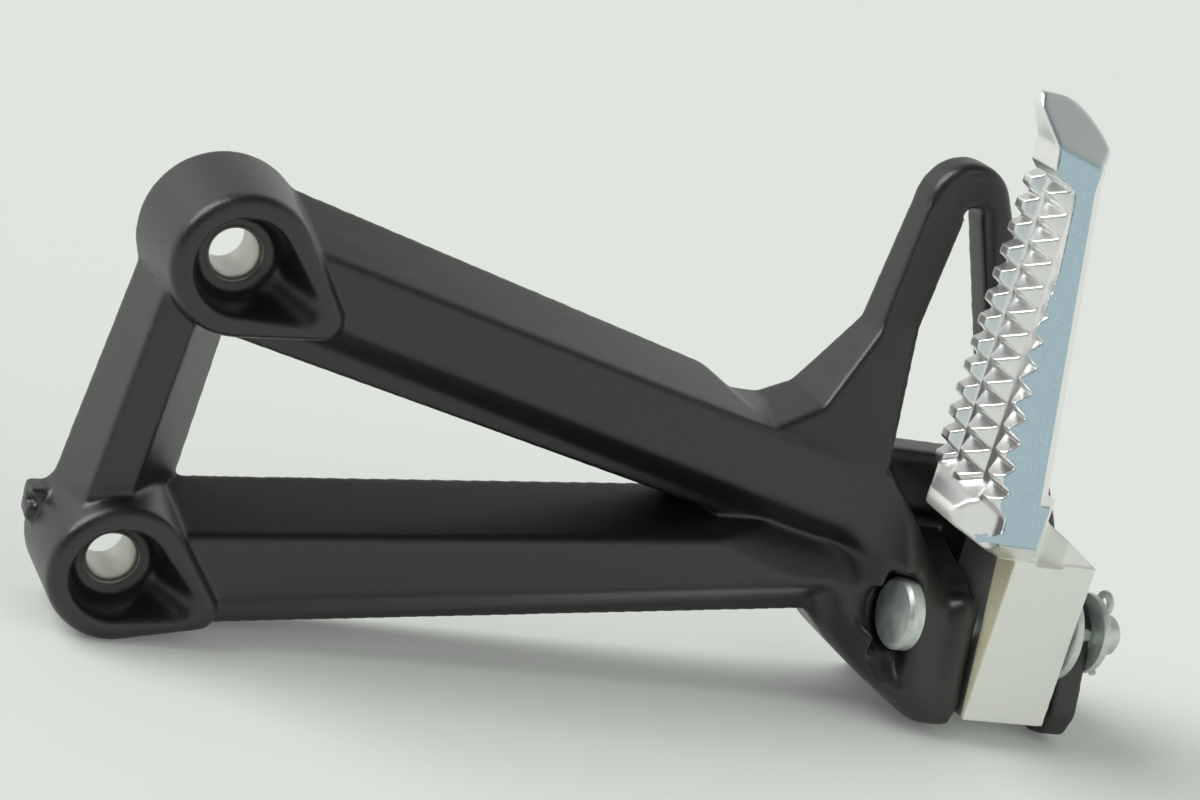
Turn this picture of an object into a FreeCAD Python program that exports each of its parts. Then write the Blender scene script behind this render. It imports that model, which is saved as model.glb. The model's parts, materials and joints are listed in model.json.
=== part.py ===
"""Folding passenger footpeg on its cast bracket.

Frame: X runs along the hinge pin, Y along the two mounting bolts, Z up along the
folded peg. The mounting face is the plane Y = 0 and the bracket stands in front of
it, towards -Y. The origin is the lower mounting bore at the mounting face.
"""
import FreeCAD, Part
import math
import os

V = FreeCAD.Vector

# Main sizes: bolts to the near side of the tongue, and the top of the tread
REACH = 164.0
TREAD_TOP_Z = 98.0

# Mounting bosses
BOLT_HOLE_D = 8.5
BOLT_PITCH_X = 9.2
BOLT_PITCH_Z = 57.0
BOLT_CHAMFER = 0.6
BOSS_DEPTH = 21.0
BOSS_FRONT_R = 12.3
BOSS_EDGE_R = 1.8
UPPER_BOSS_BACK_R = 14.5
LOWER_BOSS_BACK_R = 13.5
LOWER_BOSS_BACK_RISE = 1.2
BOSS_TOE_R = 3.4
BOSS_TOE_BACK_R = 5.0
UPPER_TOE = (15.6, -7.4)
LOWER_TOE = (15.0, -5.6)

# Pocket for the bolt head, a teardrop at its mouth and nearly round at its floor
POCKET_MOUTH_R = 8.6
POCKET_MOUTH_REACH = 0.70
POCKET_FLOOR_R = 7.4
POCKET_FLOOR_REACH = 0.26
POCKET_TOE_R = 3.5
BOLT_FLOOR = 13.0
BOLT_SEAT_R = 6.8
BOLT_SEAT_DEPTH = 1.2

# Casting lug beside the lower boss
LUG_SIZE = (5.0, 6.0, 6.0)
LUG_AT = (-14.6, 5.2)
LUG_NOTCH = 2.4

# Arms, as heights of the section's corners at the boss end and at the clevis end
ARM_BACK_Y = -1.0
ARM_FRONT_START_Y = -18.0
ARM_FRONT_END_Y = -21.0
ARM_CHAMFER_Y = -13.5
ARM_CHAMFER_DROP = 5.5
ARM_FOOT_Y = -12.5
ARM_EDGE_R = 1.5
ARM_END_X = REACH - 28.0
UPPER_ARM_START_X = 9.2
UPPER_ARM_START = {"front_top": 63.3, "front_low": 52.9, "foot": 42.9, "back_top": 69.6}
UPPER_ARM_END = {"front_top": 36.6, "front_low": 24.0, "foot": 16.0, "back_top": 39.6}
LOWER_ARM_START_X = 8.0
LOWER_ARM_START = {"front_top": 7.0, "front_low": -5.2, "foot": -12.2, "back_top": 12.0}
LOWER_ARM_END = {"front_top": 21.6, "front_low": 12.5, "foot": 3.5, "back_top": 25.2}
ARM_CHANNEL_DEPTH = 9.0
ARM_WALL = 4.5
ARM_CHANNEL_START_X = 30.0
ARM_CHANNEL_END_X = REACH - 76.0

# Saddle between the upper arm and the strap loop
SADDLE_START = (REACH - 63.6, 49.4)
SADDLE_LOW = (REACH - 52.0, 42.8)
SADDLE_END = (REACH - 38.0, 42.8)
SADDLE_CLEAR_Z = 56.0

# Strut between the two bosses, as a section at its top and its bottom
STRUT_FRONT_Y = -16.0
STRUT_BACK_Y = -1.0
STRUT_TOP_Z = 50.0
STRUT_LOW_Z = 8.0
STRUT_TOP_X = (-4.0, -1.8, 4.8, 15.0)
STRUT_LOW_X = (-10.8, -7.8, -0.6, 10.8)

# Web in the corner between the arms: X, then Y and Z of its low and its high edge
WEB_STEPS = (
    (REACH - 67.0, (-10.0, 19.4), (-11.5, 27.8)),
    (REACH - 56.0, (-20.4, 18.0), (-12.8, 25.5)),
    (REACH - 42.0, (-20.8, 14.0), (-12.8, 22.4)),
    (REACH - 32.0, (-21.0, 12.2), (-13.6, 20.2)),
    (REACH - 22.0, (-22.4, 8.0), (-21.4, 19.0)),
)
WEB_CEILING_SLOPE = 0.73
WEB_CLEAR_Y = -30.0

# Hinge pin
PIN_Y = -25.0
PIN_Z = 10.0
PIN_D = 8.0
PIN_FIT = 0.2
PIN_HEAD_D = 14.0
PIN_HEAD_H = 3.0
PIN_HEAD_CHAMFER = 0.7
PIN_END_CHAMFER = 1.0
PIN_END_PAST_HOLE = 4.2

# Clevis
HUB_START_X = ARM_END_X
HUB_NECK_X = REACH - 22.5
HUB_NECK_FRONT = ((-21.6, 34.5), (-21.0, 19.0), (-22.3, 5.5), (-19.5, -0.3), (-15.0, -1.8))
HUB_NECK_BACK = ((ARM_BACK_Y, -1.8), (ARM_BACK_Y, 37.5))
HUB_FACE_X = REACH - 17.5
HUB_FACE_FRONT = ((-23.5, 29.5), (-29.0, 15.0), (-32.0, -0.5), (-29.0, -4.5), (-20.0, -5.2))
HUB_FACE_BACK = ((ARM_BACK_Y, -5.2), (ARM_BACK_Y, 34.5))
NEAR_EAR_OUT_X = REACH - 7.0
HEAD_SEAT_X = REACH - 13.8
HEAD_SEAT_D = 17.4
HEAD_POCKET_X = REACH - 19.8
HEAD_DISH_TOE = (-33.5, -6.0)
HEAD_DISH_CLEAR_Y = -45.0
HEAD_RUN_START_Y = -30.5
HEAD_RUN_END = (REACH - 8.5, -34.5)
TONGUE_X = REACH
TONGUE_W = 18.5
SIDE_CLEARANCE = 0.5
WASHER_CLEARANCE = 0.15
FAR_EAR_W = 6.0
EAR_BROW = (-22.0, 17.5)
EAR_FRONT_TOP = (-28.6, 13.0)
EAR_FRONT_LOW = (-32.6, -5.0)
EAR_TOE = (-31.0, -10.0)
EAR_SOLE = (-27.0, -11.4)
EAR_HEEL_Z = -12.2
EAR_BACK_TOP_Z = 24.0
EAR_EDGE_R = 1.6
BRIDGE_T = 7.2
BRIDGE_TOP_Z = 37.0
BRIDGE_START_X = REACH - 24.0
BRIDGE_SHOULDER_X = REACH + 9.0

# Strap loop above the clevis
LOOP_FRONT_Y = -8.5
LOOP_BACK_Y = -1.0
LOOP_TOP = (REACH - 16.4, 85.6)
LOOP_TOP_R = 9.0
LOOP_TOP_TURN = 25.0
LOOP_LEG = (REACH - 28.7, 60.5)
LOOP_FLARE = (REACH - 39.4, 46.0)
LOOP_FLARE_FOOT = (REACH - 55.0, 38.6)
LOOP_EDGE_R = 2.0
LOOP_EYE_TOP = (REACH - 15.0, 84.0)
LOOP_EYE_TOP_R = 2.1
LOOP_EYE_LEFT_X = REACH - 24.0
LOOP_EYE_RIGHT_X = REACH + 6.0
LOOP_WEB_FRONT_Y = -20.6
LOOP_WEB_FOOT_Z = 37.0
LOOP_WEB_ROOT = (REACH - 26.4, 28.0)
LOOP_WEB_TOP_Z = 62.0
LOOP_WEB_TOP_Y = -10.0

# Peg tongue
TONGUE_HALF_T = 9.0
TONGUE_DROP = 17.0
TONGUE_TOP_Z = 27.0
TONGUE_HEEL_R = 9.0
SHOULDER_TOP = (REACH + 5.0, 35.2)
SHOULDER_STEP = 0.5

# Peg bar, as a section at the heel and one at the top of the tread
BAR_BACK_Y = -16.5
BAR_HEEL_Z = 30.0
BAR_HEEL_FRONT_Y = -43.5
BAR_TOP_FRONT_Y = -31.0
BAR_HEEL_SIDE_X = REACH - 3.6
BAR_TOP_SIDE_X = REACH - 7.1
BAR_HEEL_KEEL_X = REACH + 4.8
BAR_TOP_KEEL_X = REACH - 1.3
KEEL_HEEL_Y = (-33.0, -20.0)
KEEL_TOP_Y = (-24.0, -20.0)

# Tread: transverse ridges crossed by flat grooves
TREAD_ROOT_X = REACH - 11.0
TOOTH_H = 3.6
BACK_ROW_DROP = 1.3
TOOTH_PITCH = 4.62
FIRST_TOOTH_Z = 40.2
ROW_TOP_Y = ((-16.5, -19.4), (-26.0, -27.6), (-36.8, -38.6))
GROOVE_Y = ((-21.2, -23.0), (-31.2, -33.6))
TREAD_SEAT = 1.0

# Raised lip at the foot of the tread, as X and Z of its profile, and the bevels of its ends in plan
HEEL_LIP_NOSE = ((REACH - 11.0, 41.0), (REACH - 14.8, 38.3), (REACH - 17.2, 34.4), (REACH - 16.0, 32.4))
HEEL_LIP_ROOT = ((REACH - 3.5, 26.8), (REACH + 2.0, 26.8), (REACH + 2.0, 41.0))
HEEL_BEVEL_FRONT = ((REACH - 17.2, -32.5), (REACH - 9.0, -42.5))
HEEL_BEVEL_BACK = ((REACH - 17.2, -24.5), (REACH - 11.0, -15.5))
HEEL_SOLE = ((-34.0, 27.0), (-43.5, 33.2))

# Upturned tip, as X and the height above the tread, its back end swept and its sides bevelled
TIP_FOOT = ((REACH - 11.0, -0.4), (REACH - 14.6, 0.8), (REACH - 16.2, 2.4), (REACH - 16.4, 6.4))
TIP_LIP = ((REACH - 19.6, 12.6), (REACH - 18.9, 14.9))
TIP_CROWN = (REACH - 13.0, 14.9)
TIP_BELLY = (REACH - 4.4, 8.8)
TIP_SWEEP_Y = -21.6
TIP_SWEEP = 0.68
TIP_BEVEL_SLOPE = 1.17
TIP_BEVEL_TILT = 0.2
TIP_BEVEL_FRONT = (-30.4, 8.0)
TIP_BEVEL_BACK = (-16.5, 11.5)
PLAN_START_X = REACH - 27.0

# Washers and split pin
SPRING_WASHER_D = 20.0
SPRING_WASHER_T = 1.6
END_WASHER_D = 16.0
END_WASHER_T = 1.6
WASHER_BORE_FIT = 0.6
SPLIT_PIN_D = 2.4
SPLIT_PIN_FIT = 0.2
SPLIT_PIN_GAP = 0.5
SPLIT_EYE_R = 1.9
SPLIT_WIRE_R = 0.75
SPLIT_EYE_SIDES = 8
SPLIT_LEG_L = 4.5
SPLIT_LEG_TURN = 55.0

# Places worked out from the sizes above
BOSSES = ((0.0, 0.0), (BOLT_PITCH_X, BOLT_PITCH_Z))
NEAR_EAR_IN_X = TONGUE_X - SIDE_CLEARANCE
TONGUE_END_X = TONGUE_X + TONGUE_W
WASHER_X = TONGUE_END_X + SIDE_CLEARANCE
FAR_EAR_IN_X = WASHER_X + SPRING_WASHER_T + WASHER_CLEARANCE
FAR_EAR_OUT_X = FAR_EAR_IN_X + FAR_EAR_W
END_WASHER_X = FAR_EAR_OUT_X
SPLIT_X = END_WASHER_X + END_WASHER_T + SPLIT_PIN_GAP + SPLIT_PIN_D / 2
PIN_END_X = SPLIT_X + PIN_END_PAST_HOLE
TOOTH_TIP_X = TREAD_ROOT_X - TOOTH_H
TOOTH_COUNT = round((TREAD_TOP_Z - FIRST_TOOTH_Z) / TOOTH_PITCH + 0.5)
TIP_TOP_Z = TREAD_TOP_Z + TIP_LIP[1][1]
TOUCH = 1e-4
PAST = 1.0


def polygon(points):
    return Part.makePolygon([V(*p) for p in points] + [V(*points[0])])


def prism(points, travel):
    """Straight solid of a closed outline, pushed along a vector."""
    return Part.Face(polygon(points)).extrude(V(*travel))


def xz_prism(points, y_from, y_to):
    return prism([(x, y_from, z) for x, z in points], (0, y_to - y_from, 0))


def yz_prism(points, x_from, x_to):
    return prism([(x_from, y, z) for y, z in points], (x_to - x_from, 0, 0))


def loft(*outlines):
    """Solid with flat or gently twisted sides through two or more outlines."""
    return Part.makeLoft([polygon(o) for o in outlines], True, True)


def smooth_loft(outlines):
    """Solid whose sides flow through a row of outlines."""
    return Part.makeLoft([polygon(o) for o in outlines], True)


def x_rod(radius, x_from, x_to, y=PIN_Y, z=PIN_Z):
    return Part.makeCylinder(radius, x_to - x_from, V(x_from, y, z), V(1, 0, 0))


def y_rod(radius, x, z, y_from, y_to):
    return Part.makeCylinder(radius, y_to - y_from, V(x, y_from, z), V(0, 1, 0))


def two_circle_outline(big, big_r, small, small_r, y):
    """Closed outline round two circles in a plane of constant Y."""
    dx = small[0] - big[0]
    dz = small[1] - big[1]
    along = math.atan2(dz, dx)
    open_by = math.acos((big_r - small_r) / math.hypot(dx, dz))

    def at(centre, radius, angle):
        return V(centre[0] + radius * math.cos(angle), y, centre[1] + radius * math.sin(angle))

    top_big = at(big, big_r, along + open_by)
    low_big = at(big, big_r, along - open_by)
    top_small = at(small, small_r, along + open_by)
    low_small = at(small, small_r, along - open_by)
    edges = [
        Part.Arc(top_big, at(big, big_r, along + math.pi), low_big).toShape(),
        Part.LineSegment(low_big, low_small).toShape(),
        Part.Arc(low_small, at(small, small_r, along), top_small).toShape(),
        Part.LineSegment(top_small, top_big).toShape(),
    ]
    return Part.Wire(edges)


def edges_where(shape, test):
    return [e for e in shape.Edges if test(e)]


def fillet_where(shape, radius, test):
    return shape.makeFillet(radius, edges_where(shape, test))


def lies_at(edge, axis, value):
    return all(abs(getattr(v.Point, axis) - value) < TOUCH for v in edge.Vertexes)


def offset(centre, step, share=1.0):
    return (centre[0] + share * step[0], centre[1] + share * step[1])


def boss(centre, toe, back_r, back_rise):
    back_centre = (centre[0], centre[1] + back_rise)
    toe_at = offset(centre, toe)
    back = two_circle_outline(back_centre, back_r, toe_at, BOSS_TOE_BACK_R, 0)
    front = two_circle_outline(centre, BOSS_FRONT_R, toe_at, BOSS_TOE_R, -BOSS_DEPTH)
    body = Part.makeLoft([back, front], True)
    return fillet_where(body, BOSS_EDGE_R, lambda e: lies_at(e, "y", -BOSS_DEPTH))


def bolt_pocket(centre, toe):
    """Recess for the bolt head, its ground seat and the bolt hole."""
    floor_y = -BOLT_FLOOR - BOLT_SEAT_DEPTH
    mouth_toe = offset(centre, toe, POCKET_MOUTH_REACH)
    floor_toe = offset(centre, toe, POCKET_FLOOR_REACH)
    mouth = two_circle_outline(centre, POCKET_MOUTH_R, mouth_toe, POCKET_TOE_R, -BOSS_DEPTH)
    floor = two_circle_outline(centre, POCKET_FLOOR_R, floor_toe, POCKET_TOE_R, floor_y)
    recess = Part.makeLoft([mouth, floor], True)
    x, z = centre
    seat = y_rod(BOLT_SEAT_R, x, z, -BOSS_DEPTH, -BOLT_FLOOR)
    hole = y_rod(BOLT_HOLE_D / 2, x, z, -BOSS_DEPTH, 0)
    flare_r = BOLT_HOLE_D / 2 + BOLT_CHAMFER
    flare = Part.makeCone(flare_r, BOLT_HOLE_D / 2, BOLT_CHAMFER, V(x, -BOLT_FLOOR, z), V(0, 1, 0))
    return recess.fuse([seat, hole, flare])


def lug():
    x, z = LUG_AT
    block = Part.makeBox(*LUG_SIZE, V(x, -LUG_SIZE[1], z - LUG_SIZE[2] / 2))
    notch = [(x - LUG_NOTCH, z), (x + LUG_NOTCH, z), (x, z + LUG_NOTCH)]
    return block.cut(xz_prism(notch, -LUG_SIZE[1], -LUG_SIZE[1] + LUG_NOTCH))


def arm_section(x, heights, front_y):
    corners = [
        (front_y, heights["front_top"]),
        (front_y, heights["front_low"]),
        (ARM_CHAMFER_Y, heights["front_low"] - ARM_CHAMFER_DROP),
        (ARM_FOOT_Y, heights["foot"]),
        (ARM_BACK_Y, heights["foot"]),
        (ARM_BACK_Y, heights["back_top"]),
    ]
    return [(x, y, z) for y, z in corners]


def heights_at(x, start_x, start, end):
    share = (x - start_x) / (ARM_END_X - start_x)
    return {k: start[k] + share * (end[k] - start[k]) for k in start}


def channel_section(x, heights):
    low = heights["foot"] + ARM_WALL
    high = heights["back_top"] - ARM_WALL
    inset = ARM_CHANNEL_DEPTH / 4
    floor_y = ARM_BACK_Y - ARM_CHANNEL_DEPTH
    return [(x, 0, low), (x, 0, high), (x, floor_y, high - inset), (x, floor_y, low + inset)]


def arm(start_x, start, end):
    """Tapered arm: narrow front face, sloping top, chamfered underside, hollow back."""
    first = arm_section(start_x, start, ARM_FRONT_START_Y)
    last = arm_section(ARM_END_X, end, ARM_FRONT_END_Y)
    body = loft(first, last)

    def long_front_edge(e):
        ends = [v.Point for v in e.Vertexes]
        spans = abs(ends[0].x - ends[-1].x) > 1
        return spans and all(p.y <= ARM_FRONT_START_Y + TOUCH for p in ends)

    body = fillet_where(body, ARM_EDGE_R, long_front_edge)
    ends = (ARM_CHANNEL_START_X, ARM_CHANNEL_END_X)
    hollow = [channel_section(x, heights_at(x, start_x, start, end)) for x in ends]
    return body.cut(loft(*hollow))


def strut():
    def section(xs, z):
        depths = (STRUT_BACK_Y, STRUT_FRONT_Y, STRUT_FRONT_Y, STRUT_BACK_Y)
        return [(x, y, z) for x, y in zip(xs, depths)]

    return loft(section(STRUT_LOW_X, STRUT_LOW_Z), section(STRUT_TOP_X, STRUT_TOP_Z))


def corner_web():
    """Wall in the corner between the arms, leaning back from the lower to the upper."""

    def section(x, low, high):
        return [(x, y, z) for y, z in (low, high, (ARM_BACK_Y, high[1]), (ARM_BACK_Y, low[1]))]

    return smooth_loft([section(*step) for step in WEB_STEPS])


def web_recess():
    """Room in front of the corner web, under the slope of the upper arm."""

    def section(x, low, high):
        ceiling = high[1] + WEB_CEILING_SLOPE * (high[0] - WEB_CLEAR_Y)
        return [(x, y, z) for y, z in (low, high, (WEB_CLEAR_Y, ceiling), (WEB_CLEAR_Y, low[1]))]

    return smooth_loft([section(*step) for step in WEB_STEPS])


def saddle():
    """Cut that lets the upper arm dip before the strap loop rises."""
    corners = [SADDLE_START, SADDLE_LOW, SADDLE_END, (SADDLE_END[0], SADDLE_CLEAR_Z)]
    corners.append((SADDLE_START[0], SADDLE_CLEAR_Z))
    return xz_prism(corners, ARM_FRONT_END_Y - PAST, 0)


def ear_corners():
    front = [EAR_BROW, EAR_FRONT_TOP, EAR_FRONT_LOW, EAR_TOE, EAR_SOLE]
    return front + [(0, EAR_HEEL_Z), (0, EAR_BACK_TOP_Z)]


def ear(x_from, x_to):
    plate = yz_prism(ear_corners(), x_from, x_to)

    def rim(e):
        ends = [v.Point for v in e.Vertexes]
        across = abs(ends[0].x - ends[-1].x) > 1
        return across and all(p.y < -1 for p in ends)

    return fillet_where(plate, EAR_EDGE_R, rim)


def hub():
    """Body that gathers both arms and stands forward into the near ear."""
    heights = {
        "front_top": UPPER_ARM_END["front_top"],
        "front_low": LOWER_ARM_END["front_low"],
        "foot": LOWER_ARM_END["foot"],
        "back_top": UPPER_ARM_END["back_top"],
    }
    first = arm_section(HUB_START_X, heights, ARM_FRONT_END_Y)
    first.insert(1, (HUB_START_X, ARM_FRONT_END_Y, LOWER_ARM_END["front_top"]))
    later = (
        (HUB_NECK_X, HUB_NECK_FRONT + HUB_NECK_BACK),
        (HUB_FACE_X, HUB_FACE_FRONT + HUB_FACE_BACK),
        (NEAR_EAR_OUT_X, ear_corners()),
    )
    return loft(first, *[[(x, y, z) for y, z in corners] for x, corners in later])


def bridge():
    corners = [
        (BRIDGE_START_X, LOWER_ARM_END["foot"]),
        (NEAR_EAR_OUT_X, EAR_HEEL_Z),
        (FAR_EAR_OUT_X, EAR_HEEL_Z),
        (FAR_EAR_OUT_X, EAR_BACK_TOP_Z),
        (BRIDGE_SHOULDER_X, BRIDGE_TOP_Z),
        (BRIDGE_START_X, BRIDGE_TOP_Z),
    ]
    return xz_prism(corners, -BRIDGE_T, 0)


def strap_loop():
    """Hairpin loop with a triangular eye, on a web that leans back from the arm."""
    x, z = LOOP_TOP
    left = (x - LOOP_TOP_R, z)
    turn = math.radians(LOOP_TOP_TURN)
    right = (x + LOOP_TOP_R * math.cos(turn), z + LOOP_TOP_R * math.sin(turn))
    crown = (x, z + LOOP_TOP_R)
    leg_line = [LOOP_FLARE_FOOT, LOOP_FLARE, LOOP_LEG, left]

    def plate_of(corners, arc_top):
        """Plate whose outline runs through the corners and closes with an arc."""
        points = [V(px, LOOP_FRONT_Y, pz) for px, pz in corners]
        edges = [Part.LineSegment(a, b).toShape() for a, b in zip(points, points[1:])]
        top = V(arc_top[0], LOOP_FRONT_Y, arc_top[1])
        edges.append(Part.Arc(points[-1], top, points[0]).toShape())
        return Part.Face(Part.Wire(edges)).extrude(V(0, LOOP_BACK_Y - LOOP_FRONT_Y, 0))

    foot = [(FAR_EAR_OUT_X, EAR_BACK_TOP_Z), (BRIDGE_START_X, EAR_BACK_TOP_Z)]
    plate = plate_of([right] + foot + leg_line, crown)
    ex, ez = LOOP_EYE_TOP
    r = LOOP_EYE_TOP_R
    eye_foot = [(LOOP_EYE_RIGHT_X, BRIDGE_TOP_Z), (LOOP_EYE_LEFT_X, BRIDGE_TOP_Z)]
    eye = plate_of([(ex + r, ez)] + eye_foot + [(ex - r, ez)], (ex, ez + r))
    plate = fillet_where(plate.cut(eye), LOOP_EDGE_R, lambda e: lies_at(e, "y", LOOP_FRONT_Y))

    root_z = LOOP_WEB_ROOT[1]
    lean = [(LOOP_BACK_Y, root_z), (LOOP_BACK_Y, z), (LOOP_FRONT_Y, z), (LOOP_WEB_TOP_Y, LOOP_WEB_TOP_Z)]
    lean += [(LOOP_WEB_FRONT_Y, LOOP_WEB_FOOT_Z), (LOOP_WEB_FRONT_Y, root_z)]
    leaning = yz_prism(lean, LOOP_FLARE_FOOT[0], ex)
    leg = leg_line + [(ex - r, ez), eye_foot[1], LOOP_WEB_ROOT]
    web = xz_prism(leg, LOOP_WEB_FRONT_Y, LOOP_BACK_Y).common(leaning)
    return plate.fuse(web)


def head_seat():
    """Flat seat for the pin head in a dish that is open towards the front."""
    high = PIN_Z + HEAD_SEAT_D / 2
    low = PIN_Z - HEAD_SEAT_D / 2
    toe_z = HEAD_DISH_TOE[1]
    clear_y = HEAD_DISH_CLEAR_Y
    seat = x_rod(HEAD_SEAT_D / 2, HEAD_POCKET_X, HEAD_SEAT_X)
    outline = [(PIN_Y, high), (PIN_Y, low), HEAD_DISH_TOE, (clear_y, toe_z), (clear_y, high)]
    dish = yz_prism(outline, HEAD_POCKET_X, HEAD_SEAT_X)
    plan = [(HEAD_SEAT_X, HEAD_RUN_START_Y), HEAD_RUN_END, (HEAD_SEAT_X, HEAD_RUN_END[1])]
    run = prism([(x, y, toe_z) for x, y in plan], (0, 0, high - toe_z))
    return seat.fuse([dish, run])


def bracket():
    upper_arm = arm(UPPER_ARM_START_X, UPPER_ARM_START, UPPER_ARM_END).cut(saddle())
    recess = web_recess()
    lower_arm = arm(LOWER_ARM_START_X, LOWER_ARM_START, LOWER_ARM_END).cut(recess)
    solids = [
        boss(BOSSES[0], LOWER_TOE, LOWER_BOSS_BACK_R, LOWER_BOSS_BACK_RISE),
        boss(BOSSES[1], UPPER_TOE, UPPER_BOSS_BACK_R, 0),
        lug(),
        upper_arm,
        lower_arm,
        strut(),
        corner_web(),
        hub().cut(recess),
        ear(NEAR_EAR_OUT_X, NEAR_EAR_IN_X),
        ear(FAR_EAR_IN_X, FAR_EAR_OUT_X),
        bridge(),
        strap_loop(),
    ]
    body = solids[0].fuse(solids[1:]).removeSplitter()
    cuts = [bolt_pocket(BOSSES[0], LOWER_TOE), bolt_pocket(BOSSES[1], UPPER_TOE), head_seat()]
    cuts.append(x_rod((PIN_D + PIN_FIT) / 2, HUB_START_X, FAR_EAR_OUT_X + PAST))
    return body.cut(cuts)


def front_y_at(z):
    """The peg's tapering front side at a height."""
    share = (z - BAR_HEEL_Z) / (TREAD_TOP_Z - BAR_HEEL_Z)
    return BAR_HEEL_FRONT_Y + share * (BAR_TOP_FRONT_Y - BAR_HEEL_FRONT_Y)


def bar_envelope():
    """Plan outline of the peg: straight back, tapering front, past both ends."""
    low = HEEL_LIP_ROOT[0][1]
    high = TIP_TOP_Z + PAST
    corners = [(front_y_at(low), low), (front_y_at(high), high), (BAR_BACK_Y, high), (BAR_BACK_Y, low)]
    return yz_prism(corners, PLAN_START_X, TONGUE_END_X)


def bar_section(z, left_x, side_x, keel_x, keel_y):
    front_y = front_y_at(z)
    corners = [(left_x, front_y), (side_x, front_y), (keel_x, keel_y[0])]
    corners += [(keel_x, keel_y[1]), (side_x, BAR_BACK_Y), (left_x, BAR_BACK_Y)]
    return [(x, y, z) for x, y in corners]


def top_section(left_x):
    return bar_section(TREAD_TOP_Z, left_x, BAR_TOP_SIDE_X, BAR_TOP_KEEL_X, KEEL_TOP_Y)


def tread():
    """Rows of teeth: ridges across the peg crossed by flat grooves along it."""
    seat_x = TREAD_ROOT_X + TREAD_SEAT
    half = TOOTH_PITCH / 2
    low = FIRST_TOOTH_Z - half
    comb = [(seat_x, low)]
    for i in range(TOOTH_COUNT):
        z = FIRST_TOOTH_Z + i * TOOTH_PITCH
        comb += [(TREAD_ROOT_X, z - half), (TOOTH_TIP_X, z)]
    high = low + TOOTH_COUNT * TOOTH_PITCH
    comb += [(TREAD_ROOT_X, high), (seat_x, high)]
    across = xz_prism(comb, BAR_HEEL_FRONT_Y, BAR_BACK_Y)

    back_row, middle_row, front_row = ROW_TOP_Y
    back_x = TOOTH_TIP_X + BACK_ROW_DROP
    rows = [(seat_x, back_row[0]), (back_x, back_row[0]), (back_x, back_row[1])]
    rows += [(TREAD_ROOT_X, y) for y in GROOVE_Y[0]]
    rows += [(TOOTH_TIP_X, y) for y in middle_row]
    rows += [(TREAD_ROOT_X, y) for y in GROOVE_Y[1]]
    rows += [(TOOTH_TIP_X, y) for y in front_row]
    rows += [(TREAD_ROOT_X, BAR_HEEL_FRONT_Y), (seat_x, BAR_HEEL_FRONT_Y)]
    along = prism([(x, y, low) for x, y in rows], (0, 0, high - low))
    return across.common(along)


def heel_lip():
    """Raised lip at the foot of the tread, its two ends bevelled in plan."""
    lip = xz_prism(HEEL_LIP_NOSE + HEEL_LIP_ROOT, BAR_HEEL_FRONT_Y - PAST, BAR_BACK_Y)
    low = HEEL_LIP_ROOT[0][1]
    rise = HEEL_LIP_NOSE[0][1] - low
    for outer, inner in (HEEL_BEVEL_FRONT, HEEL_BEVEL_BACK):
        corners = [outer, inner, (PLAN_START_X, inner[1])]
        lip = lip.cut(prism([(x, y, low) for x, y in corners], (0, 0, rise)))
    return lip


def peg_tip():
    """Upturned nose: swept back end, round belly, bevelled sides."""

    def at(point):
        return V(point[0], TIP_SWEEP_Y, TREAD_TOP_Z + point[1])

    start = (BAR_TOP_KEEL_X, TIP_FOOT[0][1])
    chain = [start, *TIP_FOOT, *TIP_LIP, TIP_CROWN]
    edges = [Part.LineSegment(at(a), at(b)).toShape() for a, b in zip(chain, chain[1:])]
    edges.append(Part.Arc(at(TIP_CROWN), at(TIP_BELLY), at(start)).toShape())
    profile = Part.Face(Part.Wire(edges))
    back_run = BAR_BACK_Y - TIP_SWEEP_Y
    swept = profile.extrude(V(TIP_SWEEP * back_run, back_run, 0))
    nose = profile.extrude(V(0, BAR_HEEL_FRONT_Y - TIP_SWEEP_Y, 0)).fuse(swept)

    rise = TIP_TOP_Z + PAST - TREAD_TOP_Z
    start_z = TREAD_TOP_Z + TIP_FOOT[0][1]
    outline = [(x, y, start_z) for x, y, z in top_section(PLAN_START_X)]
    nose = nose.common(prism(outline, (0, 0, rise)))

    top = TIP_TOP_Z + rise
    length = TONGUE_END_X - PLAN_START_X
    for (side_y, side_rise), inward in ((TIP_BEVEL_FRONT, 1), (TIP_BEVEL_BACK, -1)):
        side_z = TREAD_TOP_Z + side_rise
        reach = (top - side_z) / TIP_BEVEL_SLOPE
        far_y = side_y - inward * reach
        far_z = side_z - TIP_BEVEL_SLOPE * reach
        corners = [(side_y + inward * reach, top), (far_y, top), (far_y, far_z)]
        wedge = [(PLAN_START_X, y, z) for y, z in corners]
        nose = nose.cut(prism(wedge, (length, 0, -TIP_BEVEL_TILT * length)))
    return nose


def tongue():
    low = PIN_Z - TONGUE_DROP
    front = PIN_Y - TONGUE_HALF_T
    back = PIN_Y + TONGUE_HALF_T
    block = Part.makeBox(TONGUE_W, 2 * TONGUE_HALF_T, TONGUE_TOP_Z - low, V(TONGUE_X, front, low))

    def rear_foot(e):
        return lies_at(e, "y", back) and lies_at(e, "z", low)

    block = fillet_where(block, TONGUE_HEEL_R, rear_foot)
    left = HEEL_LIP_ROOT[0][0]
    top_x, top_z = SHOULDER_TOP
    shoulder = [(left, TONGUE_TOP_Z), (TONGUE_END_X, TONGUE_TOP_Z), (top_x, top_z), (left, top_z)]
    neck = xz_prism(shoulder, front + SHOULDER_STEP, back - SHOULDER_STEP)
    return block.fuse(neck)


def heel_sole():
    """Slope under the front of the bar, rising away from the tongue."""
    inner, outer = HEEL_SOLE
    slope = (outer[1] - inner[1]) / (inner[0] - outer[0])
    far_y = outer[0] - PAST
    far_z = outer[1] + slope * PAST
    low = PIN_Z
    return yz_prism([inner, (far_y, far_z), (far_y, low), (inner[0], low)], PLAN_START_X, TONGUE_END_X)


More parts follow.
